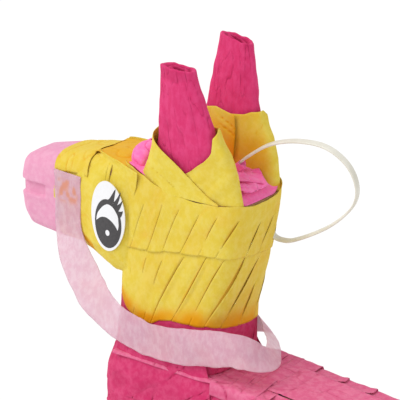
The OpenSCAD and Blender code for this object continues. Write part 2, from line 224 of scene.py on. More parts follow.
class Paper:
    """Collects grids of points in mm, with a tone from 0 to 1 (painted shade and random variation that deepen the
    colour), and makes one mesh of them.
    """

    def __init__(self):
        self.points, self.faces, self.tones, self.count = [], [], [], 0

    def grid(self, p, tone=0, wrap=False, flip=False):
        n, m = p.shape[:2]
        index = np.arange(n * m).reshape(n, m) + self.count
        if wrap:
            index = np.vstack([index, index[:1]])
        quads = np.stack([index[:-1, :-1], index[1:, :-1], index[1:, 1:], index[:-1, 1:]], -1).reshape(-1, 4)
        self.faces.extend((quads[:, ::-1] if flip else quads).tolist())
        self.points.append(p.reshape(-1, 3))
        self.tones.append(np.broadcast_to(np.clip(tone, 0, 1), (n, m)).ravel())
        self.count += n * m
        return self

    def make(self, name, finish, body="donkey", thick=0.14, weld=True, replaces=None, offset=1):
        """One piece in a finish, which is a material and a slot; the slot is not used."""
        material, slot = finish
        mesh = bpy.data.meshes.new(name)
        mesh.from_pydata((np.concatenate(self.points) * MM).tolist(), [], self.faces)
        tone = mesh.attributes.new("tone", "FLOAT", "POINT")
        tone.data.foreach_set("value", np.concatenate(self.tones).astype(np.float32))
        if weld:
            work = bmesh.new()
            work.from_mesh(mesh)
            bmesh.ops.remove_doubles(work, verts=work.verts, dist=0.004 * MM)
            work.to_mesh(mesh)
            work.free()
        mesh.polygons.foreach_set("use_smooth", [True] * len(mesh.polygons))
        obj = add_object(name, mesh)
        mesh.materials.append(material)
        if thick:
            shell = obj.modifiers.new("thickness", "SOLIDIFY")
            shell.thickness = thick * MM
            shell.offset = offset
        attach(obj, body)
        if replaces:
            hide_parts(replaces)
        return obj


# ---- materials


class Nodes:
    """Short calls for a material's node tree."""

    def __init__(self, name):
        self.material = bpy.data.materials.new(name)
        self.material.use_nodes = True
        self.tree = self.material.node_tree
        self.shader = self.tree.nodes["Principled BSDF"]
        self.place = self.add("ShaderNodeTexCoord").outputs["Object"]

    def add(self, kind, **inputs):
        node = self.tree.nodes.new(kind)
        for key, value in inputs.items():
            self.plug(node.inputs[key.replace("_", " ")], value)
        return node

    def plug(self, socket, value):
        if isinstance(value, bpy.types.NodeSocket):
            self.tree.links.new(value, socket)
        else:
            socket.default_value = value

    def stretch(self, scale):
        return self.add("ShaderNodeMapping", Vector=self.place, Scale=scale).outputs[0]

    def noise(self, scale, detail=3, rough=0.6, place=None, distort=0):
        node = self.add("ShaderNodeTexNoise", Vector=place or self.place, Scale=scale, Detail=detail,
                        Roughness=rough, Distortion=distort)
        return node.outputs["Fac"]

    def ramp(self, value, low, high, to_low=0, to_high=1):
        node = self.add("ShaderNodeMapRange", Value=value)
        node.interpolation_type = "SMOOTHSTEP"
        for socket, number in zip(node.inputs[1:5], (low, high, to_low, to_high)):
            socket.default_value = number
        return node.outputs[0]

    def maths(self, operation, a, b):
        node = self.tree.nodes.new("ShaderNodeMath")
        node.operation = operation
        self.plug(node.inputs[0], a)
        self.plug(node.inputs[1], b)
        return node.outputs[0]

    def tint(self, colour, other, value, low, high, most=1):
        """The colour, with the other one mixed in as value goes from low to high."""
        share = self.ramp(value, low, high, 0, most)
        node = self.tree.nodes.new("ShaderNodeMix")
        node.data_type = "RGBA"
        for key, part in ((0, share), (6, colour), (7, other)):
            self.plug(node.inputs[key], (*part, 1) if isinstance(part, tuple) else part)
        return node.outputs[2]

    def bump(self, height, strength, distance):
        node = self.add("ShaderNodeBump", Height=height, Strength=strength, Distance=distance)
        self.tree.links.new(node.outputs[0], self.shader.inputs["Normal"])

    def done(self, colour, rough, **fixed):
        self.plug(self.shader.inputs["Base Color"], colour)
        self.plug(self.shader.inputs["Roughness"], rough)
        for key, value in fixed.items():
            self.plug(self.shader.inputs[key.replace("_", " ")], value)
        return self.material


def tissue(slot, name, base, light, deep, grain=(1, 1, 1), cloud=330, bump=0.35, sheen=0.15, alpha=1,
           mottle=0.55):
    """Tissue with cloudy pulp, fine fibres, crinkles, and a deeper colour where the tone is high; the tone is mostly
    painted shade in folds, slits and hollows, with some random variation.
    It comes with the record's slot, which its pieces do not use."""
    m = Nodes(name)
    place = m.stretch(grain)
    pulp = m.noise(cloud, 4, 0.65, place)
    fibre = m.noise(cloud * 4.2, 3, 0.7, place, 0.6)
    large = m.noise(cloud * 0.16, 2, 0.5)
    colour = m.tint(base, light, pulp, 0.36, 0.66, mottle)
    colour = m.tint(colour, deep, large, 0.35, 0.7, 0.1)
    colour = m.tint(colour, light, fibre, 0.58, 0.75, 0.25)
    colour = m.tint(colour, deep, fibre, 0.42, 0.25, 0.12)
    # the tone attribute mixes in the deep colour: painted shade in folds, slits, tucks and hollows, plus some random
    # variation
    tone = m.add("ShaderNodeAttribute")
    tone.attribute_name = "tone"
    colour = m.tint(colour, deep, tone.outputs["Fac"], 0, 1)
    height = m.maths("ADD", m.maths("MULTIPLY", pulp, 0.7), m.maths("MULTIPLY", fibre, 0.35))
    m.bump(height, bump, 0.0003)
    return m.done(colour, m.ramp(fibre, 0.2, 0.8, 0.78, 0.95), Sheen_Weight=sheen, Sheen_Roughness=0.5,
                  Specular_IOR_Level=0.15, Alpha=alpha), slot


YELLOW = tissue("yellow_paper", "yellow_tissue", (0.74, 0.57, 0.06), (0.8, 0.67, 0.15), (0.75, 0.34, 0.003),
                sheen=0.04)
YELLOW_STRIP = tissue("yellow_paper", "yellow_strip_tissue", (0.73, 0.555, 0.058), (0.79, 0.65, 0.15),
                      (0.75, 0.32, 0.002), grain=(1, 1, 0.7), sheen=0.04)
EAR_PINK = tissue("ear_tissue", "ear_crepe", (0.67, 0.036, 0.155), (0.78, 0.075, 0.24), (0.38, 0.01, 0.07),
                  grain=(1.3, 1.3, 0.7), bump=0.3, sheen=0.05)
MAGENTA = tissue("magenta_tissue", "magenta_tissue_paper", (0.58, 0.03, 0.13), (0.7, 0.09, 0.22), (0.36, 0.008, 0.06),
                 sheen=0.05)
BACK_PINK = tissue("magenta_tissue", "back_tissue_paper", (0.72, 0.12, 0.26), (0.82, 0.25, 0.39), (0.42, 0.015, 0.085),
                   sheen=0.05)
HOT_PINK = tissue("hot_pink_tissue", "hot_pink_tissue_paper", (0.98, 0.16, 0.45), (0.99, 0.3, 0.58),
                  (0.82, 0.06, 0.25))
PALE_PINK = tissue("pale_pink_paper", "pale_pink_tissue_paper", (0.76, 0.325, 0.485), (0.82, 0.45, 0.58),
                   (0.72, 0.22, 0.38), sheen=0.05)
STREAMER = tissue("streamer", "crepe_streamer", (0.78, 0.46, 0.57), (0.85, 0.61, 0.7), (0.85, 0.36, 0.25),
                  grain=(1, 1, 0.55), cloud=420, alpha=0.62, mottle=0.8)
VIOLET = tissue("violet_tissue", "violet_tissue_paper", (0.24, 0.055, 0.36), (0.34, 0.11, 0.47), (0.12, 0.02, 0.22))
BLUE = tissue("blue_tissue", "blue_tissue_paper", (0.045, 0.17, 0.55), (0.09, 0.27, 0.66), (0.02, 0.07, 0.3))


def cardboard():
    m = Nodes("brown_card")
    wave = m.add("ShaderNodeTexWave", Vector=m.place, Scale=150, Distortion=0.4)
    wave.bands_direction = "Z"
    flutes = wave.outputs["Fac"]
    pulp = m.noise(500, 4, 0.7)
    specks = m.noise(1900, 2, 0.6)
    colour = m.tint((0.36, 0.2, 0.085), (0.47, 0.28, 0.13), pulp, 0.3, 0.7)
    colour = m.tint(colour, (0.2, 0.1, 0.04), specks, 0.66, 0.74, 0.6)
    colour = m.tint(colour, (0.26, 0.14, 0.06), flutes, 0, 1, 0.16)
    m.bump(m.maths("ADD", pulp, m.maths("MULTIPLY", flutes, 0.4)), 0.3, 0.0003)
    return m.done(colour, m.ramp(specks, 0.2, 0.8, 0.75, 0.95), Specular_IOR_Level=0.3)


def strap_plastic():
    m = Nodes("milky_strap_plastic")
    cloud = m.noise(160, 3, 0.5)
    lines = m.noise(900, 2, 0.5, m.stretch((1, 1, 0.15)))
    colour = m.tint((0.7, 0.67, 0.57), (0.78, 0.755, 0.67), cloud, 0.3, 0.7)
    colour = m.tint(colour, (0.85, 0.84, 0.78), lines, 0.6, 0.75, 0.2)
    m.bump(lines, 0.1, 0.0002)
    return m.done(colour, m.ramp(cloud, 0.3, 0.7, 0.36, 0.5), Coat_Weight=0.1)


def sticker(name, dark, light, scuffs):
    m = Nodes(name)
    dust = m.noise(700, 3, 0.6)
    colour = m.tint(light, dark, dust, 0.3, 0.75)
    m.bump(dust, scuffs, 0.0001)
    return m.done(colour, m.ramp(dust, 0.3, 0.7, 0.3, 0.44), Coat_Weight=0.2, Coat_Roughness=0.2)


CARD = cardboard()
STRAP = strap_plastic()
STICKER_WHITE = sticker("sticker_white", (0.84, 0.84, 0.86), (0.87, 0.87, 0.89), 0.05)
STICKER_BLACK = sticker("sticker_black", (0.03, 0.028, 0.03), (0.045, 0.04, 0.043), 0.05)

# ---- the hanging loop

LOOP_EXIT = np.array([4, 4.5, 232.5])
LOOP_ENTRY = np.array([21.5, 14, 200])
LOOP_AXIS = unit(LOOP_ENTRY - LOOP_EXIT)
LOOP_FAR = np.array([65, 11.4, 232])
LOOP_ROUTE = [
    [5.5, 5, 234.5], [8.5, 5.7, 237.3], [12.5, 6.7, 240.6], [18.5, 8, 244.8], [25, 8.5, 247.7],
    [32.5, 9, 249.7], [39.5, 9.5, 250.5], [46, 10, 250.4], [52, 10.3, 249], [57.5, 10.6, 246],
    [61.5, 10.8, 242.3], [64.2, 11, 237.5], [65, 11.4, 232], [63.5, 11.8, 226.5], [60, 12, 221.5],
    [55, 12.5, 216.5], [49, 13, 211.7], [42, 13.4, 207.2], [35, 13.7, 203.3], [29, 14, 200.5],
    [25, 14.3, 199.6]]
LOOP_INSIDE = np.array([[21.4, 14.1, 199.8], [19.4, 13.6, 201.4]])
STUB_EXIT, STUB_ENTRY = 17, 13
STRAP_W, STRAP_T = 3.5, 1.2


def hanging_loop():
    """Flat strap swept along its route, rounded at its edges."""
    stops = [LOOP_EXIT + far * LOOP_AXIS for far in (STUB_EXIT, STUB_EXIT / 2, 0)]
    stops += [*LOOP_ROUTE, *LOOP_INSIDE]
    stops += [LOOP_ENTRY - far * LOOP_AXIS for far in (STUB_ENTRY / 2, STUB_ENTRY)]
    path = spline(stops, 170)
    across = unit(np.cross(LOOP_FAR - LOOP_EXIT, LOOP_AXIS))
    run = unit(np.gradient(path, axis=0))
    thick = unit(np.cross(run, across))
    a = ring_of(16)
    c, s = rounded(np.cos(a), 2 / 3), rounded(np.sin(a), 2 / 3)
    rings = path[None] + STRAP_W / 2 * c[:, None, None] * across + STRAP_T / 2 * s[:, None, None] * thick[None]
    p = Paper().grid(rings, wrap=True, flip=True)
    for end, turned in ((0, False), (-1, True)):
        ring = rings[:, end]
        p.grid(np.stack([ring, np.broadcast_to(path[end], ring.shape)], 1), wrap=True, flip=turned)
    obj = p.make("hanging_strap", (STRAP, "strap_plastic"), "loop", thick=0, replaces="hanging_loop")


hanging_loop()

# ---- the walls that the paper lies on

HEAD = Wall([[139, -51, 10, 20.5], [165, -49, 11.5, 19.5], [198, -47.3, 19.5, 19.2], [232, -46, 25.5, 19.5]], 5,
            front=3.8)
SNOUT_TIP = 109.4
SNOUT = Wall([[49.8, 175, 231.5, 19], [60, 179.5, 230.6, 18.3], [72, 184, 228.6, 16.6], [88, 184, 225.6, 15.2],
              [104, 185.5, 222, 13.5], [SNOUT_TIP, 189, 219, 10.5]], 4, snout=True)
BODY = Wall([[70, -50.5, 95.5, 23.5], [74, -52.5, 97.5, 24.5], [118, -53, 98, 25], [130, -52.7, 96.5, 24],
             [139, -51.5, 94, 21.8]], 6,
            fall=np.array([[70, 0], [74, 0], [118, 0.03], [130, 0.075], [139, BACK_SLOPE]]))


def slit_band(p, wall, low, high, pitch, lean, seed, *, slits=(), free=False, lift=0.4, part=0.6, out=0.5,
              foot_out=0.3, step=0.6, cell=0.8, wrinkle=0.15, foot_tone=0, slit=(0.12, 0.8), flare=0):
    """A band of tissue with leaning slits. The strip behind a slit lies over the strip before it.

    low and high are heights, or functions of the share. slits are rows of the slit line's place at
    the foot and at the top, in mm round the wall, the heights where it opens and closes, and its
    width; more follow at the pitch. A free band's slits run out at its lower edge. The layer under
    it, of the same paper, shows through."""
    rng = np.random.default_rng(seed)
    under = 0.3  # how far outside the wall the layer under the band lies
    length = wall.length
    foot, top = (line if callable(line) else (lambda t, z=line: 0 * t + z) for line in (low, high))
    tall = float(np.mean(top(np.linspace(0, 1, 50)) - foot(np.linspace(0, 1, 50))))
    cuts = []
    for s0, s1, z0, z1, width in slits:
        a, b = float(foot(np.array(s0 / length))), float(top(np.array(s1 / length)))
        cuts.append((s0, s1 - s0, (z0 - a) / (b - a), (z1 - a) / (b - a), width))
    place = cuts[-1][0] + pitch if cuts else 0
    end = (cuts[0][0] if cuts else 0) + length
    while place + 0.6 * pitch < end:
        cuts.append((place, lean * tall * rng.uniform(0.8, 1.2), rng.uniform(slit[0] - 0.06, slit[0] + 0.1),
                     rng.uniform(slit[1] - 0.14, slit[1] + 0.08), part * rng.uniform(0.3, 1)))
        place += pitch * rng.uniform(0.8, 1.2)
    bows = rng.uniform(-0.7, 0.7, len(cuts)).tolist()
    steps = rng.uniform(-step, step, len(cuts))
    cuts.append((cuts[0][0] + length, *cuts[0][1:]))
    bows.append(bows[0])
    h = np.linspace(0, 1, max(8, int(round(tall / cell))) + 1)

    def opened(cut):
        if free:
            return np.sqrt(np.clip(1 - (h / cut[3]) ** 2, 0, 1))[None]
        return np.sin(math.pi * np.clip((h - cut[2]) / (cut[3] - cut[2]), 0, 1))[None] ** 0.8

    for i, (left, right) in enumerate(zip(cuts, cuts[1:])):
        u, hh = cells(np.linspace(0, 1, max(5, int(round((right[0] - left[0]) / cell))) + 1), h)
        first, second = opened(left), opened(right)
        arch = np.sin(math.pi * hh)
        s = (left[0] + left[1] * hh + bows[i] * arch) * (1 - u) + (right[0] + right[1] * hh + bows[i + 1] * arch) * u
        base = foot(s / length)
        height = base + (top(s / length) - base) * hh
        height = height - (steps[i] + 0.3 * np.sin(u * math.pi)) * np.clip(1 - hh / 0.14, 0, 1) ** 2
        s = s + 0.3 * left[4] * first * (1 - smooth(0, 0.5, u)) - 0.3 * right[4] * second * smooth(0.5, 1, u)
        flat = xyz(s, height, seed * 7)
        skew = xyz(s - lean * height, height * 0.22, seed * 3)
        fold = folds(skew, 4.5, seed + 2, 0.07)
        d = out + foot_out * np.clip(1 - hh / 0.3, 0, 1) ** 1.5 - 0.3 * smooth(0.85, 1, hh)
        d = d + lift * (0.35 + left[4]) * first * (1 - smooth(0, 0.4, u)) ** 2
        d = d - 0.2 * (0.35 + right[4]) * second * smooth(0.72, 1, u)
        d = d + 0.2 * np.sin(math.pi * u) * arch
        d = d + wrinkle * (noise(flat, 7, seed) + 0.6 * noise(skew, 2.4, seed + 1)) - wrinkle * fold
        d = np.maximum(d + flare * rng.uniform(0.4, 1) * np.clip(1 - hh / 0.6, 0, 1) ** 1.5, under + 0.12)
        # painted shade in each slit, where the strip's right edge tucks under, and along the folds; foot_tone deepens
        # it towards the foot; the rest is random variation
        tone = np.minimum(right[4], 0.6) * second * smooth(0.84, 1, u) + 0.15 * fold
        tone = tone + foot_tone * smooth(0.33, 0, hh) * (0.75 + 0.5 * noise(flat, 5, seed + 4))
        tone = tone + 0.16 * smooth(0.1, 0.8, noise(flat, 8, seed + 5)) + 0.06 * (i * 5 % 3)
        p.grid(wall.push(s / length, height, d), tone)
    # the layer under the band has tone 0.5: painted shade, as it shows only in the slits
    t = np.linspace(0, 1, int(length / 2.2), endpoint=False)
    tt, hh = cells(t, np.linspace(0.02, 0.97, max(4, int(tall / 3))))
    height = foot(tt) + (top(tt) - foot(tt)) * hh
    p.grid(wall.push(tt, height, np.full_like(tt, under)), 0.5, wrap=True)
    return p


def head_line(places, heights, wave=0):
    """Height of a line round the head, given at places in mm from the middle of its front."""
    def line(t):
        s = np.mod(t, 1) * HEAD.length
        return np.interp(s, places, heights) + wave * noise(xyz(s, 0, 0), 7, 3)
    return line


BAND_FOOT = head_line(
    [0, 12, 20, 24.5, 32, 40, 44, 52, 62, 71, 82, 92, 100, 130, 165, 183.7],
    [172, 169, 164, 161, 157.7, 157.6, 160.6, 162.3, 162.8, 163.5, 162.2, 159.9, 159.3, 160, 164, 172])
BAND_LINE = head_line(
    [0, 16, 26, 32, 40.5, 51, 61, 69, 80, 96, 120, 150, 183.7],
    [188.5, 191, 192.8, 193.4, 195.2, 197, 198.2, 198.8, 199.2, 196.5, 196.5, 194, 188.5])
BAND_RIM = head_line(
    [0, 20, 25.6, 32.2, 40.5, 48.5, 58.7, 66.4, 76.6, 86, 93.4, 100, 108, 116, 130, 150, 165, 175, 183.7],
    [231, 231.5, 228.9, 226.3, 224.4, 223, 222.5, 222.7, 224, 222.9, 222.6, 223.5, 227.5, 229.5, 228, 224.5, 226, 230,
     231], 0.4)
slit_band(Paper(), HEAD, lambda t: BAND_FOOT(t) - 0.2, lambda t: BAND_LINE(t) + 0.8, 10.5, 0.4, 11, slits=[
    (13, 15, 175, 185, 0), (29, 33.5, 182, 190, 0.3), (35.4, 43.5, 178, 190.5, 0.35),
    (39.5, 55.4, 159, 194.5, 0.55), (51.3, 66.2, 166, 198.5, 1.2), (61, 74.4, 170, 199.5, 0.4),
    (68.8, 84, 166.5, 199.5, 0.7), (76.5, 97, 168.5, 194, 0.35), (91, 103, 164, 180, 0.3)],
    foot_tone=0.95, part=0.3, slit=(0.1, 0.9), lift=0.75, step=0.25, foot_out=0.15).make(
    "head_band_lower_paper", YELLOW_STRIP, replaces="head_band_lower")
slit_band(Paper(), HEAD, lambda t: BAND_LINE(t) - 0.5, BAND_RIM, 9.5, 0.36, 23, slits=[
    (10, 14, 200, 212, 0), (22.2, 33, 196.5, 214, 0.18), (32.8, 40.7, 193.6, 217, 0.3),
    (41.4, 51, 195.5, 217, 0.32), (51.5, 61.6, 197, 217, 0.3), (61.8, 71.2, 206, 217.5, 0.34),
    (69.9, 80.1, 203.2, 217, 0.5), (83, 95, 200, 214, 0.25)], slit=(0.1, 0.76), out=0.7, step=0.45, part=0.25,
    lift=0.5).make("head_band_upper_paper", YELLOW_STRIP, replaces="head_band_upper")
slit_band(Paper(), HEAD, 139.4, lambda t: BAND_FOOT(t) + 1.5, 12, 0.3, 31, wrinkle=0.35, out=0.4, foot_out=0.1,
          slit=(0.1, 0.7)).make("neck_paper", MAGENTA, replaces="neck_wrap")

# ---- snout, muzzle and face

MUZZLE_LINE = 85


def lip_run(x):
    """Share of the way from the front to the rear of the cheeks' top edges."""
    return np.maximum(x + 61, 0) / 29.5


def cheek(p, side):
    """Sheet from the snout's side over the head's front corner, with a free lip along its top edge."""
    v, k = patch(0, 1, 64, 0, 1, 90)
    guess = 190 - 20 * v + (42 + 20 * v) * k
    front = np.interp(guess, [185, 200, 220, 232], [-70, -73.5, -70.5, -61.5])
    rear = np.interp(guess, [170, 180, 190, 200, 210, 220, 228, 232],
                     [-40.5, -39, -37.5, -37, -36.5, -34.5, -32.5, -31.5])
    x = front + (rear - front) * v
    x = x + 0.8 * noise(xyz(0, k * 60, side), 6, 40) * smooth(0.6, 1, v)
    low = np.interp(x, [-73.5, -68.8, -56.9, -50, -42], [193.5, 190.2, 179, 172.5, 164])
    along = lip_run(x)
    z = low + (232.4 - 2.8 * along - low) * k
    flat = 20.3 - 3.2 * smooth(-50, -37, x) ** 2
    flat = np.minimum(flat, SNOUT.half_at(np.maximum(-x, 50), z) + 1.3 + 6 * smooth(186, 198, z))
    wall = np.maximum(flat - 2.2 * smooth(-58, -66, x), HEAD.half_at(z, x) + 1.1 - 0.8 * smooth(0.8, 1, v))
    wall = wall - (wall - 12 - 8.5 * along) * smooth(0.66, 1, k) ** 1.2
    wall = np.maximum(wall - 3.5 * smooth(0.13, 0, k) ** 2 * smooth(-44, -50, x), 0.3)
    snout = SNOUT.half_at(-x, z) + 0.8
    share = smooth(-71, -59, x)
    y = np.where(x < -52, np.maximum(snout * (1 - share) + wall * share, snout - 0.2), wall)
    lump = xyz(x, z, side * 9)
    wave = xyz(x * 0.5 + z * 0.35, z * 0.35 - x * 0.2, side * 5)
    fold = folds(wave, 3.4, 43, 0.06)
    calm = 1 - 0.8 * smooth(13, 9, np.abs(x + 49)) * smooth(20, 15, np.abs(z - 205))
    d = (0.35 * noise(lump, 9, 41) + 0.18 * noise(wave, 1.8, 42) - 0.1 * fold) * calm * smooth(-70, -60, x)
    d = d + 0.35 * smooth(0.96, 1, k) * smooth(-70, -62, x)
    # painted shade in the folds, along the lower edge where the sheet turns under the jaw, and towards the lower front
    tone = 0.25 * fold * calm + 0.8 * smooth(0.12, 0.02, k) + 0.2 * smooth(-55, -66, x) * (1 - k)
    p.grid(xyz(x, side * (y + d), z + 0.3 * smooth(0.96, 1, k)), tone, flip=side > 0)


def face():
    """Yellow sheet round the snout, a cheek sheet on each side, and the top sheet between their lips."""
    p = Paper()
    t, f = patch(0, 1, 190, 50.2, MUZZLE_LINE + 1, 46, closed=True)
    place = xyz(t * SNOUT.length, f, 0)
    skew = xyz(t * SNOUT.length / 9, f / 2.4, 0)
    fold = folds(skew, 1.6, 7, 0.1)
    d = 0.45 + 0.28 * noise(place, 9, 5) + 0.16 * noise(skew, 1, 6) - 0.35 * fold * smooth(83, 77, f)
    # painted shade along the creases
    p.grid(SNOUT.push(t, f, np.maximum(d, 0.15)), 0.3 * fold + 0.1, wrap=True)
    for side in (-1, 1):
        cheek(p, side)
    x, q = patch(-64, -36, 40, -1, 1, 60)
    along = lip_run(x)
    edge = 231.7 - 2.8 * along - 2.5 * smooth(-42, -36, x)
    middle = np.interp(x, [-64.6, -46.7, -42, -36], [231, 233.1, 232, 227])
    wave = xyz(x * 0.4, q * 14, 0)
    fold = folds(wave, 4, 45, 0.08)
    z = edge + (middle - edge) * (1 - q * q) + 0.25 * noise(wave, 3, 44) - 0.4 * fold - 0.6 * smooth(-62, -64, x)
    # the top sheet is deepened throughout and more in its folds: painted shade on the grazing-lit top between the lips
    p.grid(xyz(x, q * (12.3 + 8.5 * along), z), 0.62 + 0.3 * fold)
    p.make("face_paper", YELLOW, replaces="face_wrap")


def bridge():
    """Creased strip across the bridge of the nose, from the muzzle back along the snout's top."""
    p = Paper()
    t, f = patch(0.5 - 0.15, 0.5 + 0.15, 44, 62.5, MUZZLE_LINE + 0.6, 34)
    f = f + 1.6 * noise(xyz(t * 60, 0, 0), 3, 51) * smooth(68, 62.5, f)
    place = xyz(t * SNOUT.length, f, 0)
    fold = folds(place * [0.4, 1, 1], 4, 53, 0.14)
    d = 1.15 + 0.3 * noise(place, 6, 52) - 0.4 * fold
    d = d - 0.35 * smooth(0.85, 1, np.abs(t - 0.5) / 0.15) + 0.3 * smooth(66, 62.5, f)
    # a slightly deeper tone throughout, with painted shade in the creases
    p.grid(SNOUT.push(t, f, d), 0.25 + 0.35 * fold)
    p.make("bridge_strip", YELLOW, replaces="nose_strip")


def muzzle():
    """Pale pink paper over the end of the snout, sunk a little way into the mouth notch."""
    p = Paper()

    def mouth(z, f):
        """Where the mouth is open, and where its lips are, at height z and f mm along the snout."""
        far = np.abs(z - 205.4 - 0.06 * (SNOUT_TIP - f))
        return smooth(3.7, 2.4, far), smooth(8, 3.8, far) * smooth(2.4, 3.6, far)

    tt, ff = patch(0, 1, 240, MUZZLE_LINE - 1.2, SNOUT_TIP, 52, closed=True)
    gap, lips = mouth(SNOUT.at(tt, ff)[..., 2], ff)
    place = xyz(tt * SNOUT.length, ff, 0)
    streak = xyz(tt * SNOUT.length / 2.4, ff / 9, 0)
    fold = folds(streak, 1.8, 63, 0.07)
    sunk = gap * smooth(91, 93.5, ff)
    d = 0.65 + 0.3 * noise(place, 9, 61) + 0.1 * noise(streak, 1, 62) - 0.15 * fold
    d = d + 0.45 * lips * smooth(89, 94, ff) - 1.35 * sunk
    rows = SNOUT.push(tt, ff, d * smooth(112, 107.5, ff) ** 0.5)
    # painted shade in the sunk mouth notch and in the creases, plus random variation
    tone = 0.28 * sunk + 0.2 * fold + 0.25 * smooth(0.1, 0.7, noise(place, 11, 65))
    p.grid(rows, tone, wrap=True)
    middle = np.array([0, 204])
    last = rows[:, -1]
    cap = []
    for k in np.linspace(1, 0, 20):
        yz = middle + (last[:, 1:] - middle) * k
        gap, lips = mouth(yz[:, 1], SNOUT_TIP)
        x = last[:, 0] - (1 - k ** 4) - 0.35 * lips + 1.3 * gap
        lump = xyz(0, yz[:, 0], yz[:, 1])
        cap.append(xyz(x + 0.15 * noise(lump, 4, 64), yz[:, 0], yz[:, 1]))
    cap = np.stack(cap, 1)
    cap[:, 0] = last
    cap[:, -1] = cap[:, -1].mean(axis=0)
    # painted shade in the mouth notch
    p.grid(cap, 0.3 * mouth(cap[..., 2], SNOUT_TIP)[0], wrap=True)
    p.make("muzzle_paper", PALE_PINK, replaces="muzzle_wrap")


face()
bridge()
muzzle()

# ---- eyes

EYE_AT = np.array([-49, 21.05, 205])
EYE_BOW = 0.45, 1.8  # how far the sticker bends inwards at its front and rear edge


def slab(points, level, thick, name, material, side):
    """Flat closed shape in (towards the rear, up) millimetres, laid on the face at a level outside it."""
    outline = spline([*points, points[0]], 8 * len(points))[:-1]
    work = bmesh.new()
    lower, upper = ([work.verts.new((a * MM, side * y * MM, b * MM)) for a, b in outline]
                    for y in (level, level + thick))
    n = len(lower)
    for i in range(n):
        work.faces.new((lower[i], lower[(i + 1) % n], upper[(i + 1) % n], upper[i]))
    work.faces.new(lower[::-1])
    work.faces.new(upper)
    bmesh.ops.recalc_face_normals(work, faces=work.faces)
    for _ in range(4):
        bmesh.ops.triangulate(work, faces=[face for face in work.faces if len(face.verts) > 3])
        bmesh.ops.subdivide_edges(work, edges=[edge for edge in work.edges if edge.calc_length() > 1.6 * MM], cuts=1)
    bmesh.ops.triangulate(work, faces=[face for face in work.faces if len(face.verts) > 3])
    for vert in work.verts:
        bend = EYE_BOW[vert.co.x >= 0] * (vert.co.x / MM / 10.5) ** 2
        vert.co += Vector((EYE_AT[0] * MM, side * (EYE_AT[1] - bend) * MM, EYE_AT[2] * MM))
    mesh = bpy.data.meshes.new(name)
    work.to_mesh(mesh)
    work.free()
    mesh.materials.append(material)
    obj = add_object(name, mesh)
    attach(obj, "donkey")
    return obj


def oval(a, b, half_w, half_h, count):
    return [(a + half_w * math.cos(k), b + half_h * math.sin(k)) for k in ring_of(count)]


LASHES = [
    [(0.2, 8.3), (1.1, 9), (2.4, 10.9), (4.5, 14.1), (4.2, 11.4), (3.8, 9.2), (3.4, 7.2), (1.9, 7.4)],
    [(3.1, 7.3), (4.2, 8.4), (5.5, 10.2), (7.1, 13), (6.6, 10.1), (5.8, 7.7), (4.8, 5.8), (3.8, 6.4)],
    [(4.2, 6.2), (5.4, 6.6), (6.7, 7.6), (8.1, 9.2), (7.5, 7), (6.7, 5.1), (5.8, 3.8), (4.9, 4.9)],
    [(5.6, 3.8), (6.6, 3.6), (7.4, 3.7), (8.1, 4), (7.8, 2.5), (7.3, 1.3), (6.5, 0.5), (6.1, 2.1)],
]
SCLERA = [(-7, -3.1), (-6.5, -0.6), (-5.6, 1.3), (-3.2, 4.1), (-1.4, 5.4), (0.4, 6), (2.8, 5.1), (4.5, 3),
          (5.6, 0.8), (5.8, -1.3), (5.9, -3.6), (5.4, -5.8), (4.9, -5), (4, -3.7), (2.6, -2.3), (1, -1.3),
          (-0.5, -0.7), (-2, -0.6), (-3.6, -0.9), (-5, -1.6), (-6.1, -2.5)]


def eye(side, tag):
    white, black = STICKER_WHITE, STICKER_BLACK
    base = slab(oval(-0.6, 0, 9.6, 17, 40), -0.25, 0.4, f"eye_sticker_{tag}", white, side)
    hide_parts(f"eye_{tag}")
    slab(oval(-0.3, -3.6, 7.6, 11.9, 36), 0.15, 0.06, f"eye_ball_{tag}", black, side)
    slab(SCLERA, 0.2, 0.07, f"eye_white_{tag}", white, side)
    slab(oval(-0.3, -8.1, 1.2, 1.4, 16), 0.2, 0.07, f"eye_glint_{tag}", white, side)
    for k, lash in enumerate(LASHES, 1):
        slab(lash, 0.15, 0.06, f"eye_lash_{tag}_{k}", black, side)


eye(-1, "left")
eye(1, "right")

# ---- ears and their wraps

EAR_ROOT, WRAP_ROOT = 223.6, 222.8
EAR_FEET = [[223.2, -27, 17, 3, 14], [230, -26, 15.5, 3.4, 14.2], [250, -21, 9.5, 4.4, 16.5]]
EAR_TIPS = {"left": [283, -17, -1, 3.2, 20], "right": [289, -14, 1, 3.2, 20]}
WRAP_TABLE = [[222.6, -35.5, 22, 4.6, 14.2], [227, -33, 21, 4.7, 14.4], [237, -27.5, 19.4, 5.1, 15.2],
              [246, -24.2, 16, 5.7, 16.2], [250, -22.6, 13.2, 5.9, 16.7], [258, -20.8, 9.2, 5.9, 17.5]]


def mirrored(table, side):
    return [[*row[:4], side * row[4]] for row in table]


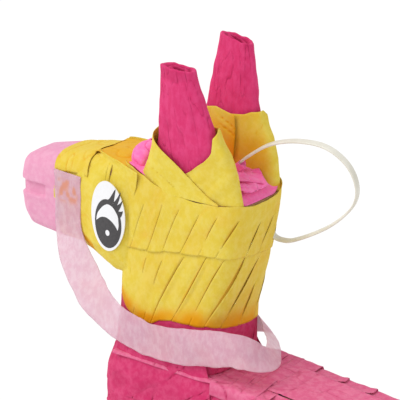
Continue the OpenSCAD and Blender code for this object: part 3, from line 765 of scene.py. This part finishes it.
def ear(side, tag):
    """Rolled crepe: soft upright wrinkles, short broken creases and an open, turned-in tip."""
    wall = Wall(mirrored(EAR_FEET + [EAR_TIPS[tag]], side), 2.4)
    tip, bevel, seed = EAR_TIPS[tag][0], 1 if side < 0 else 3, 71 if side < 0 else 81
    t, k = patch(0, 1, 200, 0, 1, 110, closed=True)
    z = EAR_ROOT + (tip - EAR_ROOT - bevel * (0.5 - 0.5 * np.cos(math.tau * t)) ** 1.5) * k
    ax, ay = np.cos(math.tau * t) * 9, np.sin(math.tau * t) * 9
    around, fine, lump = xyz(ax, ay, 0), xyz(ax, ay, z / 9), xyz(ax, ay, z)
    broad = xyz(ax * 0.4, ay * 0.4, z / 12)
    broken = smooth(-0.15, 0.25, noise(lump, 9, seed + 4))
    fold = folds(broad, 1.5, seed + 2, 0.055) * broken
    slash = folds(fine, 2.6, seed + 6, 0.05) * smooth(0, 0.35, noise(lump, 7, seed + 7))
    d = 0.6 + 0.07 * noise(fine, 1.1, seed) + 0.3 * noise(broad, 1.2, seed + 1) + 0.3 * noise(lump, 4.5, seed + 3)
    d = np.maximum(d - 0.35 * fold - 0.35 * slash, 0.1) + 0.25 * smooth(0.93, 1, k)
    rows = wall.push(t, z, d)
    rows[..., 2] += 0.35 * noise(around, 3.4, seed + 5)[:, :1] * smooth(0.85, 1, k)
    # painted shade in the folds and slashes, plus random variation
    tone = 0.4 * fold + 0.6 * slash + 0.35 * smooth(0.1, 0.7, noise(lump, 8, seed + 8))
    p = Paper().grid(rows, tone, wrap=True)
    top = rows[:, -1]
    middle = top.mean(axis=0)
    inward = (middle - top) * [1, 1, 0]
    lip = [top]
    for drop, share in ((0.35, 0.06), (0.2, 0.16), (-0.4, 0.26), (-1.2, 0.36), (-0.6, 0.46), (-0.2, 0.56),
                        (-0.9, 0.66), (-3, 0.72), (-7, 0.75)):
        ring = top + inward * share
        ring[:, 2] += drop + 0.3 * noise(around[:, 0] * 0.6 + drop, 2, seed + 9)
        lip.append(ring)
    # painted shade inside the turned-in tip, darkest where it drops into the ear
    p.grid(np.stack(lip, 1), np.array([0.1, 0.1, 0.15, 0.5, 0.9, 0.4, 0.3, 0.7, 1, 1])[None], wrap=True)
    p.make(f"ear_crepe_{tag}", EAR_PINK, thick=0.22, replaces=f"ear_tissue_{tag}", offset=-1)


def ear_wraps(side, tag):
    """Two yellow sheets crossed round the ear's root; the front one lies over the rear one."""
    wall = Wall(mirrored(WRAP_TABLE, side), 2.5)
    seed = 91 if side < 0 else 101
    p = Paper()
    layers = (
        (0.13, 0.8, 0.25, [0.13, 0.22, 0.25, 0.3, 0.35, 0.4, 0.44, 0.5, 0.62, 0.72, 0.8],
         [226, 233, 235, 238.6, 242.2, 247.5, 254, 257, 256.5, 255.6, 256]),
        (-0.3, 0.44, 0.85, [-0.3, -0.2, -0.1, -0.03, 0.04, 0.15, 0.25, 0.34, 0.44],
         [255, 257, 255.8, 252.5, 249.3, 242.3, 235.2, 229.6, 223.8]),
    )
    for k, (start, end, level, marks, tops) in enumerate(layers):
        t, h = patch(start, end, 110, 0, 1, 44)
        place = xyz(t * 60, k * 30, h * 30)
        top = np.interp(t, marks, tops) + 0.5 * noise(place * [1, 1, 0], 4, seed + k)
        z = WRAP_ROOT + (top - WRAP_ROOT) * h
        slant = (0.5 if k else -0.45) * -side
        skew = xyz(t * 60 + slant * z, z * 0.2, 9 * k)
        bent = xyz(t * 60 + 2.4 * slant * z, z * 0.04, 5 * k)
        fold = folds(bent, 7, seed + 2 + k, 0.05) * smooth(-0.2, 0.2, noise(place, 9, seed + 9))
        d = level + 0.3 * noise(place, 9, seed + 4) + 0.3 * noise(skew, 3, seed + 5 + k) - 0.7 * fold
        d = d + 0.35 * smooth(0.86, 1, h) * (0.6 + 0.6 * noise(place * [1, 1, 0], 5, seed + 6 + k))
        d = d + 1.1 * np.exp(-((np.mod(t, 1) - 0.47) / 0.03) ** 2) * smooth(0.3, 0.8, h) * (1 - k) * (side < 0)
        for edge in (start, end):
            d = d + 0.5 * smooth(0.03, 0, np.abs(t - edge)) * smooth(0.1, 0.4, h)
        # painted shade in the folds and on the inner side of each sheet, more so lower down; darker along the sheet's
        # ends
        tone = 0.75 * fold + 0.25 * smooth(0.05, 0, np.minimum(np.abs(t - start), np.abs(t - end)))
        inner = smooth(0.5, 0.56, np.mod(t, 1)) * smooth(1, 0.94, np.mod(t, 1))
        tone = tone + inner * (0.35 + 0.45 * smooth(0.9, 0.3, h)) * (0.9 + 0.4 * noise(place, 6, seed + 8))
        p.grid(wall.push(t if side < 0 else 1 - t, z, np.maximum(d, 0.2)), tone, flip=side > 0)
    p.make(f"ear_wrap_paper_{tag}", YELLOW, thick=0.2, replaces=f"ear_wrap_{tag}", weld=False)


for number, word in ((-1, "left"), (1, "right")):
    ear(number, word)
    ear_wraps(number, word)

# ---- crown and forelock


CROWN_X = -10  # middle of the crown
LID_TOP = 223.15  # just above the card lid


def crown_height(x, y):
    """Height of the tissue heap inside the rim."""
    k = (np.abs((x - CROWN_X) / 35) ** 4 + np.abs(y / 19) ** 4) ** 0.25
    return 223.7 + 6.6 * (1 - np.clip(k, 0, 1) ** 4)


def inside_rim(x, y):
    """The places, pulled in to 0.93 of the way to the rim where they are past that."""
    k = (np.abs((x - CROWN_X) / 34.5) ** 5 + np.abs(y / 19) ** 5) ** 0.2
    pull = np.where(k > 0.93, 0.93 / np.maximum(k, 1e-6), 1)
    return (x - CROWN_X) * pull + CROWN_X, y * pull


def crown():
    """Hot pink strips heaped on the crown, running from the front right to the rear left."""
    p = Paper()
    t, k = patch(0, 1, 120, 0.985, 0.02, 30, closed=True)
    edge = HEAD.at(t, np.full_like(t, 224), -0.6)
    x, y = CROWN_X + (edge[..., 0] - CROWN_X) * k, edge[..., 1] * k
    z = crown_height(x, y) + 0.5 * noise(xyz(x, y, 0), 5, 111) - 0.6
    rim = np.maximum(BAND_RIM(t) - 0.6, LID_TOP)
    z = rim + np.maximum(z - rim, 0.3) * smooth(0.99, 0.86, k)
    # the heap under the strips is slightly deeper: painted shade
    p.grid(xyz(x, y, z), 0.12, wrap=True)
    rng = np.random.default_rng(17)
    run = math.cos(math.radians(-40)), math.sin(math.radians(-40))
    side = -run[1], run[0]
    strips = [(place, middle, 36, 14) for middle, place in zip(
        [-4, 3, 7, 11, 15, 18, 19], np.linspace(-26, 28, 7))]
    strips += [(14, 18, 26, 14), (4, 22, 28, 15), (24, 16, 24, 13)]
    for number, (place, middle, long, wide) in enumerate(strips):
        u, w = patch(-0.5, 0.5, 44, -0.5, 0.5, 15)
        bend = rng.uniform(-3, 3)
        spread = 1 + 0.25 * u
        along = u * long + middle * 0.6
        across = place * 0.62 + w * wide * spread + bend * (u * u * 4 - 0.3)
        x, y = inside_rim(CROWN_X + run[0] * along + side[0] * across, run[1] * along + side[1] * across)
        place3 = xyz(along, across, number * 9)
        lift = rng.uniform(0.5, 1.9) + 0.9 * smooth(0.25, 0.5, w) * rng.uniform(0.5, 1.4)
        lift = lift + 1.3 * smooth(0.3, 0.5, np.abs(u)) * rng.uniform(0.2, 1)
        ripple = xyz(across, along * 0.2, number * 5)
        fold = folds(ripple, 3, 114, 0.14)
        z = crown_height(x, y) + lift + 0.4 * noise(place3, 6, 112) + 0.2 * noise(ripple, 2, 113) - 0.3 * fold
        z = z + 0.6 * np.cos(w * math.pi)
        # painted shade in the folds and along one long edge of each strip
        p.grid(xyz(x, y, z), 0.3 * fold + 0.2 * smooth(-0.3, -0.5, w))
    turn = np.linspace(0, 2.3 * math.pi, 40)
    for number, (cx, cy, axis, size, long) in enumerate((
            (2, 2.5, (0.75, 0.25, 0.62), 2.3, 9), (6.5, 7, (0.9, 0.42, 0.15), 2, 9),
            (-4, 1.5, (-0.55, 0.3, 0.78), 2.2, 8))):
        axis = unit(np.array(axis))
        first = unit(np.cross(axis, [0, 0.3, 1]))
        second = np.cross(axis, first)
        a, h = cells(turn, np.linspace(0, 1, 16))
        r = size * (0.55 + 0.45 * a / turn[-1]) * (0.75 + 0.45 * h)
        base = np.array([cx, cy, 229.4])
        out = [(h * long + 0.7 * np.sin(a * 2 + number)), r * np.cos(a), r * np.sin(a)]
        pts = base + axis * out[0][..., None] + first * out[1][..., None] + second * out[2][..., None]
        pts = pts + 0.35 * noise(pts, 2.6, 116 + number)[..., None] * unit(pts - base + 1e-3)
        # painted shade towards the curls' roots
        p.grid(pts, 0.3 * smooth(0.4, 0, h))
    p.make("crown_strips", HOT_PINK, thick=0.16, replaces="crown_tissue", weld=False)


def forelock():
    """Crumpled tuft in front of the ears."""
    a, b = cells(ring_of(110), np.linspace(-0.5, 0.985, 60) * math.pi / 2)
    ca, sa, cb, sb = np.cos(a), np.sin(a), np.cos(b), np.sin(b)
    normal = xyz(ca * cb, sa * cb, sb)
    x = -36 + 7.2 * rounded(ca, 0.8) * rounded(cb, 0.75)
    y = -4.5 + 10.5 * rounded(sa, 0.8) * rounded(cb, 0.75)
    z = 230 + 10.2 * rounded(sb, 0.85)
    pts = xyz(x, y, z)
    fold = folds(pts * [1, 1, 0.35], 4.2, 121, 0.13)
    d = 0.8 * noise(pts, 6, 122) + 0.4 * noise(pts * [1, 1, 0.3], 2.6, 123) - 0.9 * fold
    pts = pts + normal * d[..., None]
    # painted shade in the folds and on the underside of the tuft
    Paper().grid(pts, 0.55 * fold + 0.35 * smooth(0.2, -0.3, b), wrap=True).make(
        "forelock_tuft", HOT_PINK, thick=0.2, replaces="forelock", weld=False)


crown()
forelock()

# ---- the streamer

# rows of x, y, z, turn and tilt in degrees, and share of the width
REIN_HELD = [[*row, 0, 1] for row in (
    [-76.3, -17.4, 219.5, -6], [-76.3, -17.4, 206, -6], [-76, -17.8, 193, -6], [-71.5, -19.8, 182, 12],
    [-64, -21.4, 172, 24], [-55, -22.8, 162.5, 16], [-44, -23.4, 155, 4], [-29, -23.6, 151.5, 0],
    [-10, -23.4, 152, 0])]
REIN_BEHIND = [
    [6, -23.3, 154.5, 0, 0, 1], [20, -22.8, 157.5, 8, 0, 0.98], [28.5, -20.5, 157, 25, 8, 0.88],
    [33, -15.5, 154, 48, 25, 0.74], [34, -8.5, 152, 78, 38, 0.62], [29.5, 0, 152, 112, 42, 0.58],
    [21.5, 10.5, 153, 134, 45, 0.62], [12.5, 18, 154, 150, 35, 0.75], [1, 22.4, 153, 170, 12, 0.92]]
REIN_W = 17.5


def rein():
    """Crepe streamer, glued to both sides of the muzzle and slung round behind the neck."""
    stops = REIN_HELD + REIN_BEHIND + [[x, -y, z, 180 - turn, *rest] for x, y, z, turn, *rest in REIN_HELD[::-1]]
    path = spline(stops, 400)
    middle, turn, tilt = path[:, :3], np.radians(path[:, 3]), np.radians(path[:, 4:5])
    length = float(gaps(middle).sum())
    run = unit(np.gradient(middle, axis=0))
    face_way = xyz(np.sin(turn), -np.cos(turn), 0)
    across = unit(np.cross(run, face_way))
    across = np.cos(tilt) * across + np.sin(tilt) * unit(np.cross(across, run))
    face_way = unit(np.cross(across, run))
    at = np.linspace(0, length, len(path))
    s, w = cells(at, np.linspace(-0.5, 0.5, 21))
    end = np.minimum(s, length - s)
    free = smooth(40, 70, end)
    place = xyz(s, w * REIN_W, 0)
    crinkle = xyz(s / 1.4, w * REIN_W / 4, 0)
    d = free * (noise(place, 22, 131) + 0.5 * noise(place, 9, 132))
    d = d + 0.1 * noise(crinkle, 1, 133) + free * 0.7 * (w * 2) ** 2 * noise(place * [1, 0, 0], 26, 134)
    half = REIN_W * path[:, 5:] * (0.5 + 0.02 * noise(place * [1, 0, 0], 5, 135))
    pts = middle[:, None] + across[:, None] * (w * 2 * half)[..., None] + face_way[:, None] * d[..., None]
    stain = smooth(17, 12, end) * smooth(2, 5, end) * smooth(0.46, 0.3, np.abs(w))
    stain = stain * smooth(-0.5, 0.5, noise(place, 2.2, 136))
    tone = 0.75 * stain + 0.12 * smooth(0.1, 0.6, noise(place, 14, 137))
    obj = Paper().grid(pts, tone).make("crepe_rein", STREAMER, thick=0.2, replaces="rein", offset=0)


rein()

# ---- body, back and flap

ROW_FOOT = [121, 104, 87, 71]
for row, (foot_z, finish) in enumerate(zip(ROW_FOOT, (MAGENTA, VIOLET, BLUE, HOT_PINK))):
    top_z = 138.6 if row == 0 else ROW_FOOT[row - 1] + 1
    slit_band(Paper(), BODY, foot_z - (0.2 if row == 3 else 1.6), top_z, 9.6, 0.25, 141 + row, free=True, out=0.5,
              foot_out=0.7, flare=0.6, part=0.8, cell=1, slit=(0.1, 0.85), wrinkle=0.28).make(
        f"body_fringe_{row + 1}", finish, replaces=f"body_row_{row + 1}")


def back_height(x):
    return BACK_Z - BACK_SLOPE * np.maximum(0, x - SLOPE_START)


FLAP_HINGE, FLAP_FRONT, FLAP_REAR, FLAP_HALF = 45.2, 42.5, 81.4, 14.6


def draped(run, half):
    """Y and fall of a sheet that hangs over an edge at half, from the distance run from its middle."""
    past = np.maximum(np.abs(run) - half, 0)
    bend = 0.9 * (1 - np.exp(-past / 0.9))
    return np.sign(run) * (np.minimum(np.abs(run), half) + bend + 0.2 * past), past - bend


def back_sheet(p, x0, x1, half, level, seed, tilt=0, tone=0, droop=7):
    """Magenta sheet across the back from x0 to x1, its sides turned down over the body's edges."""
    x, w = patch(0, 1, max(8, int((x1 - x0) / 0.9)), -1, 1, 76)
    q = xyz(x * 30, w * 20, seed)
    edge = 1.1 * noise(q * [0, 1, 1], 6, seed)
    xx = x0 + (x1 - x0) * x + tilt * w * half + edge * smooth(0.4, 1, x)
    y, fall = draped(w * (half + droop), half)
    over = smooth(0, 4, fall)
    z = back_height(xx) + level - fall
    fold = folds(xyz(xx * 0.35, y, seed), 5.5, seed + 1, 0.09)
    z = z + 0.25 * noise(q, 6, seed + 2) + 0.18 * noise(q * [0.3, 1, 1], 2.6, seed + 3) - 0.4 * fold * (1 - over)
    z = z + 0.75 * smooth(0.8, 1, x) * (0.6 + 0.6 * noise(q * [0, 1, 1], 7, seed + 4))
    # painted shade in the folds and on the sides turned down over the body's edges
    p.grid(xyz(xx, y, z), tone + 0.6 * fold + 0.3 * over)


def back():
    p = Paper()
    back_sheet(p, -46, 14, 22, 0.35, 151, tone=0.1, droop=2)
    back_sheet(p, 9.5, 25, 22.3, 0.55, 153, tilt=-0.1)
    back_sheet(p, 18.5, 33.5, 22.6, 0.95, 157, tilt=-0.16)
    back_sheet(p, 28, FLAP_FRONT - 0.4, 22.4, 1.25, 161, tilt=-0.05)
    for side in (-1, 1):
        for k, (x0, x1) in enumerate(((40, 57), (53.5, 72), (68.5, 92))):
            x, w = patch(0, 1, 20, 0, 1, 26)
            y, fall = draped(FLAP_HALF + 0.1 + (29.4 - FLAP_HALF) * w, 22.3)
            xx = x0 + (x1 - x0) * x + 1.2 * noise(xyz(0, w * 9, side * 3 + k), 3, 165) * x
            over = smooth(0, 4, fall)
            z = back_height(xx) + 0.5 + 0.3 * noise(xyz(xx, y * side, 0), 5, 166) - fall
            z = z + 0.9 * smooth(0.75, 1, x) - 0.2 * smooth(0.25, 0, x) + 1.3 * smooth(4, 0, y - FLAP_HALF)
            # painted shade where the sheets turn down over the body's edges
            p.grid(xyz(xx, side * y, z), 0.3 * over + 0.2, flip=side > 0)
    x, w = patch(FLAP_REAR + 0.5, 94.8, 16, -1, 1, 50)
    y = w * 21.8
    z = back_height(x) + 0.5 + 0.3 * noise(xyz(x, y, 0), 4, 168) - 1.5 * smooth(91.5, 94.8, x)
    p.grid(xyz(x, y, z - 2.2 * smooth(18.5, 21.8, np.abs(y))), 0.2)
    p.make("back_sheets", BACK_PINK, replaces="spine_sheet", weld=False, thick=0.18)


def chest():
    """Sheet from the neck down over the body's front and shoulders."""
    q, h = patch(-1, 1, 220, 0, 1, 64)
    foot = np.interp(np.abs(q), [0, 0.6, 0.85, 1], [110, 111, 117, 131])
    foot = foot + 1.5 * noise(xyz(q * 50, 0, 0), 6, 175)
    z = foot + (152 - foot) * h
    neck = HEAD.at(q * HEAD.share_at(8.5), z, 0.9)
    body = BODY.at(q * BODY.share_at(13), z, 1.2)
    share = smooth(131, 148, z)[..., None]
    points = body * (1 - share) + neck * share
    place = xyz(q * 75, z, 0)
    skew = xyz(q * 75 - 0.5 * z, z * 0.4, 0)
    steep = xyz(q * 75 - 0.15 * z, z * 0.25, 0)
    slope = xyz(q * 75 - 1.3 * z, z * 0.05, 0)
    fold = np.maximum(folds(slope, 9, 176, 0.045), folds(steep, 6, 180, 0.045))
    fold = fold * smooth(-0.3, 0.2, noise(place, 8, 181))
    d = 0.45 * noise(place, 15, 177) + 0.3 * noise(steep, 4, 178) - 0.8 * fold + 0.5 * smooth(0.1, 0, h)
    d = d + 0.35 * smooth(-0.08, 0.08, noise(slope, 9, 176)) + 0.25 * noise(skew, 7, 182)
    d = d * smooth(1, 0.85, h) + 0.25 * smooth(0.9, 1, h)
    out = unit((points - np.array([-18, 0, 0])) * [0.6, 1, 0])
    # painted shade in the folds, plus random variation
    tone = 0.7 * fold + 0.3 * smooth(0.1, 0.7, noise(place, 9, 179))
    Paper().grid(points + out * d[..., None], tone).make(
        "chest_sheet", MAGENTA, weld=False, thick=0.18)


def flap():
    """Paper over the fill flap, creased along the hinge."""
    p = Paper()
    x, w = patch(FLAP_FRONT - 6, FLAP_REAR, 84, -1, 1, 50)
    place = xyz(x, w * 14, 0)
    half = 14.25 + 0.15 * noise(place, 4, 171)
    fold = folds(place * [0.4, 1, 1], 5, 172, 0.1)
    z = back_height(x) + 2.27 + 0.16 * noise(place, 5, 173) * smooth(1, 4, np.abs(x - FLAP_HINGE)) - 0.2 * fold
    z = z - 0.18 * np.exp(-((x - FLAP_HINGE) / 0.7) ** 2)
    z = z - 0.5 * smooth(FLAP_HINGE - 1.5, FLAP_FRONT - 6, x)
    # painted shade in the folds and along the hinge crease
    p.grid(xyz(x, w * half, z), np.clip(0.5 * fold + 0.25 * np.exp(-((x - FLAP_HINGE) / 0.8) ** 2), 0, 1))
    obj = p.make("flap_paper", BACK_PINK, "flap", replaces="flap_cover", weld=False, thick=0.16)
    obj.parent = None
    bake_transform(obj)


back()
chest()
flap()

# ---- legs and tail

for number, (leg_x, leg_y) in enumerate(itertools.product((-36, 80), (-12.5, 12.5)), 1):
    wall = Wall([[z, leg_x - 12, leg_x + 12, 10.5, leg_y] for z in (0, 70)], 5)
    wraps = Paper()
    for k, (foot_z, top_z) in enumerate(((50.5, 69.6), (32, 52), (13.9, 33.5))):
        slit_band(wraps, wall, foot_z, top_z, 7.6, 0.2, 181 + 4 * number + k, free=True, out=0.4, foot_out=0.35,
                  flare=0.25, part=0.8, cell=1.05, lift=0.5, slit=(0.1, 0.85), step=0.7)
    wraps.make(f"leg_fringe_{number}", MAGENTA, replaces=f"leg_wrap_{number}")
    slit_band(Paper(), wall, 0.5, 13.6, 8.5, 0.12, 201 + number, out=0.7, foot_out=0.1, part=0.4, cell=1, lift=0.4,
              slit=(0.25, 0.9), step=0.1).make(f"hoof_fringe_{number}", VIOLET,
                                               replaces=f"hoof_cuff_{number}")


TAIL_X, TAIL_TOP = 105, 118.6


def tail():
    """Fringe wound round the rolled core: hanging strips under a tight band."""
    p = Paper()
    rng = np.random.default_rng(29)
    for ring, (count, r_top, r_low, foot_z) in enumerate(((9, 3.35, 4.1, 78), (11, 3.7, 5.1, 76.5))):
        for k in range(count):
            a0 = math.tau * (k + rng.uniform(-0.2, 0.2)) / count + ring * 0.3
            wide = math.tau / count * rng.uniform(0.95, 1.2)
            h, w = patch(0, 1, 30, -0.5, 0.5, 7)
            sway = rng.uniform(-0.35, 0.35)
            low = foot_z + rng.uniform(0, 5)
            r = r_top + (r_low - r_top) * h ** 0.8 + rng.uniform(0, 0.5) * h + 0.3 * np.cos(w * 6)
            a = a0 + w * wide * (1 - 0.25 * h) + sway * h * h
            pts = xyz(TAIL_X + r * np.cos(a), r * np.sin(a), TAIL_TOP - (TAIL_TOP - low) * h)
            pts[..., :2] += 0.25 * noise(pts, 5, 211 + k)[..., None]
            # painted shade towards the strips' tops, under the band
            p.grid(pts, 0.15 + 0.35 * smooth(0.5, 0, h))
    a, h = patch(0, math.tau, 60, 0, 1, 14, closed=True)
    r = 3.95 + 0.5 * np.sin(h * math.pi) + 0.2 * noise(xyz(np.cos(a) * 3, np.sin(a) * 3, h * 3), 1.4, 215)
    p.grid(xyz(TAIL_X + r * np.cos(a), r * np.sin(a), 111.5 + 7.8 * h), 0.3, wrap=True)
    p.make("tail_fringe", MAGENTA, replaces="tail_tassel", weld=False, thick=0.15)


tail()

# ---- CAD parts that stay

for node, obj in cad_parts.items():
    if not obj.hide_render:
        obj.data.materials.clear()
        obj.data.materials.append({"loop_knots": STRAP, "tail_core": MAGENTA[0]}.get(node, CARD))

# ---- floor and light

floor = bpy.data.meshes.new("floor")
floor.from_pydata([(-6, -6, 0), (6, -6, 0), (6, 6, 0), (-6, 6, 0)], [], [(0, 1, 2, 3)])
add_object("floor", floor)
pale = Nodes("pale_floor")
greys = pale.tint((0.93, 0.93, 0.93), (0.95, 0.95, 0.95), pale.noise(6), 0.3, 0.7)
floor.materials.append(pale.done(greys, 0.9, Specular_IOR_Level=0))

world = bpy.data.worlds.new("studio")
scene.world = world
world.use_nodes = True
background = world.node_tree.nodes["Background"].inputs
background["Color"].default_value = (1, 1, 1, 1)
background["Strength"].default_value = 0.78
sun = add_object("key", bpy.data.lights.new("key", "SUN"))
sun.data.energy = 1.35
sun.data.angle = math.radians(35)
look(sun, (-330, -420, 640), (0, 0, 0))
